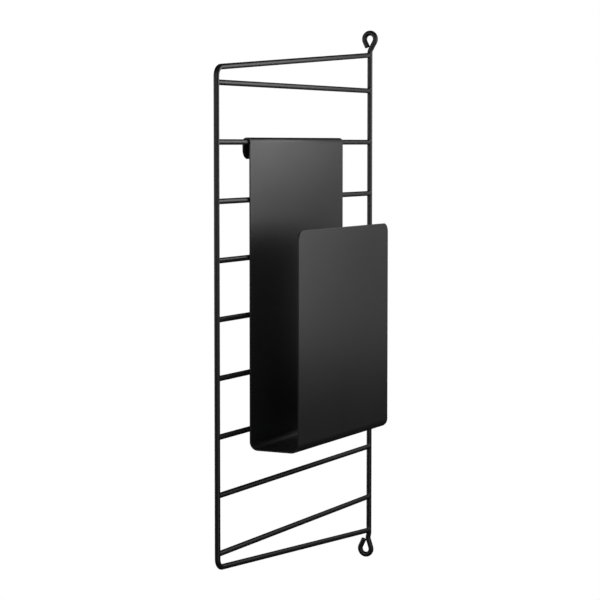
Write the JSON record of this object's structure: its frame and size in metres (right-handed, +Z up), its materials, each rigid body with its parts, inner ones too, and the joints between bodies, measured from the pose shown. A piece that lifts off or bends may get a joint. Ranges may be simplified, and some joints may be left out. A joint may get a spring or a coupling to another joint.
{
  "type": "magazine rack",
  "caption": "Wall-mounted magazine rack: an upright welded wire panel with sloped end bars and screw eyelets, carrying a folded sheet pocket that hooks over a rung and lifts off.",
  "frame": {"origin": "centre of the upper eyelet's hole, where the upper wall screw passes through", "axes": "+Z up along the wall rod, +X into the wall, +Y away from the pocket"},
  "size_m": [0.2998, 0.0604, 0.5002],
  "materials": {
    "panel_coat": "matt black powder coat on steel wire",
    "pocket_coat": "matt black powder coat on folded steel sheet"
  },
  "bodies": {
    "panel": {"wall_rod": "panel_coat", "front_rod": "panel_coat", "rung_1": "panel_coat", "rung_2": "panel_coat", "rung_3": "panel_coat", "rung_4": "panel_coat", "rung_5": "panel_coat", "rung_6": "panel_coat", "rung_7": "panel_coat", "rung_8": "panel_coat", "rung_9": "panel_coat"},
    "pocket": {"magazine_pocket": "pocket_coat"}
  },
  "joints": [
    {"name": "pocket_lift", "type": "slide", "parent": "panel", "child": "pocket", "axis": [0, 0, 1], "range_m": [0, 0.04]}
  ]
}
